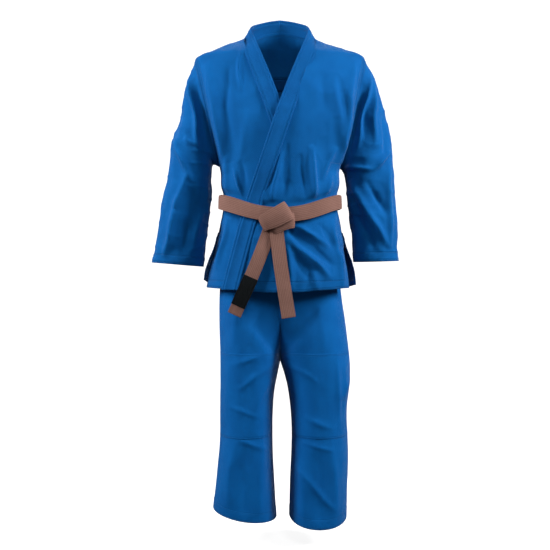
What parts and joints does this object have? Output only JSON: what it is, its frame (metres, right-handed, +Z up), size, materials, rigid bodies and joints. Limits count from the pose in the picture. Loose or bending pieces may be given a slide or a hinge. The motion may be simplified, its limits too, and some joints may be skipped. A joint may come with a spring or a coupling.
{
  "type": "martial arts uniform",
  "caption": "Blue judo style uniform as worn: wrap-over jacket with padded collar, tied brown belt with a black bar, and wide trousers with knee patches.",
  "frame": {"origin": "midway between the two points where the shoulder seams meet the collar, where the wearer's shoulders carry the jacket", "axes": "+Z up along the uniform's length, -Y out of the front, +X towards the wearer's left"},
  "size_m": [0.736, 0.2808, 1.5043],
  "materials": {
    "jacket_cloth": "matt pearl weave cotton, mid blue",
    "collar_cloth": "matt twill cotton, mid blue",
    "trouser_cloth": "matt light canvas cotton, mid blue",
    "belt_cloth": "matt brown cotton with rows of stitching",
    "bar_cloth": "matt black cotton",
    "core_foam": "folded cotton filling",
    "label_cloth": "blank woven label, blue like the jacket"
  },
  "bodies": {
    "jacket": {"left_front_panel": "jacket_cloth", "right_front_panel": "jacket_cloth", "back_panel": "jacket_cloth", "shoulder_yoke": "jacket_cloth", "neck_label": "label_cloth", "collar_band": "collar_cloth", "collar_core": "core_foam", "belt_inner_wrap": "belt_cloth", "belt_outer_wrap": "belt_cloth", "belt_knot_over": "belt_cloth", "belt_knot_under": "belt_cloth"},
    "right_sleeve": {"right_sleeve_panel": "jacket_cloth", "right_cuff_facing": "jacket_cloth", "right_armpit_gusset": "jacket_cloth"},
    "left_sleeve": {"left_sleeve_panel": "jacket_cloth", "left_cuff_facing": "jacket_cloth", "left_armpit_gusset": "jacket_cloth"},
    "outer_skirt": {"left_skirt_panel": "jacket_cloth", "left_lapel": "collar_cloth", "left_lapel_core": "core_foam", "left_skirt_hem": "jacket_cloth", "left_vent_patch": "jacket_cloth"},
    "inner_skirt": {"right_skirt_panel": "jacket_cloth", "right_lapel": "collar_cloth", "right_lapel_core": "core_foam", "right_skirt_hem": "jacket_cloth", "right_vent_patch": "jacket_cloth"},
    "back_skirt": {"back_skirt_panel": "jacket_cloth", "back_skirt_hem": "jacket_cloth", "back_right_vent_patch": "jacket_cloth", "back_left_vent_patch": "jacket_cloth"},
    "plain_tail": {"belt_plain_tail": "belt_cloth"},
    "bar_tail": {"belt_bar_tail": "belt_cloth", "rank_bar": "bar_cloth"},
    "trousers": {"trouser_seat_left": "trouser_cloth", "trouser_seat_right": "trouser_cloth", "waistband": "trouser_cloth", "waistband_facing": "trouser_cloth", "cord_loop_front_left": "trouser_cloth", "cord_loop_front_right": "trouser_cloth", "cord_loop_back_right": "trouser_cloth", "cord_loop_back_left": "trouser_cloth"},
    "right_leg": {"right_leg_panel": "trouser_cloth", "right_knee_patch": "trouser_cloth", "right_crotch_gusset": "trouser_cloth", "right_ankle_facing": "trouser_cloth"},
    "left_leg": {"left_leg_panel": "trouser_cloth", "left_knee_patch": "trouser_cloth", "left_crotch_gusset": "trouser_cloth", "left_ankle_facing": "trouser_cloth"}
  },
  "joints": [
    {"name": "right_sleeve_raise", "type": "hinge", "parent": "jacket", "child": "right_sleeve", "pos_m": [-0.25, 0, -0.054], "axis": [0, 1, 0], "range_deg": [0, 40]},
    {"name": "left_sleeve_raise", "type": "hinge", "parent": "jacket", "child": "left_sleeve", "pos_m": [0.25, 0, -0.054], "axis": [0, -1, 0], "range_deg": [0, 40]},
    {"name": "outer_skirt_lift", "type": "hinge", "parent": "jacket", "child": "outer_skirt", "pos_m": [0, -0.153, -0.572], "axis": [-1, 0, 0], "range_deg": [0, 22]},
    {"name": "inner_skirt_lift", "type": "hinge", "parent": "jacket", "child": "inner_skirt", "pos_m": [0, -0.153, -0.572], "axis": [-1, 0, 0], "range_deg": [0, 22]},
    {"name": "back_skirt_lift", "type": "hinge", "parent": "jacket", "child": "back_skirt", "pos_m": [0, 0.112, -0.572], "axis": [1, 0, 0], "range_deg": [0, 22]},
    {"name": "plain_tail_swing", "type": "hinge", "parent": "outer_skirt", "child": "plain_tail", "pos_m": [0, -0.153, -0.572], "axis": [-1, 0, 0], "range_deg": [0, 45]},
    {"name": "bar_tail_swing", "type": "hinge", "parent": "outer_skirt", "child": "bar_tail", "pos_m": [0, -0.153, -0.572], "axis": [-1, 0, 0], "range_deg": [0, 45]},
    {"name": "trousers_drop", "type": "slide", "parent": "jacket", "child": "trousers", "axis": [0, 0, -1], "range_m": [0, 0.4]},
    {"name": "right_leg_spread", "type": "hinge", "parent": "trousers", "child": "right_leg", "pos_m": [-0.18, 0, -0.76], "axis": [0, 1, 0], "range_deg": [0, 20]},
    {"name": "left_leg_spread", "type": "hinge", "parent": "trousers", "child": "left_leg", "pos_m": [0.18, 0, -0.76], "axis": [0, -1, 0], "range_deg": [0, 20]}
  ],
  "couplings": [
    {"joint": "inner_skirt_lift", "follows": "outer_skirt_lift", "ratio": 1},
    {"joint": "bar_tail_swing", "follows": "plain_tail_swing", "ratio": 1}
  ]
}
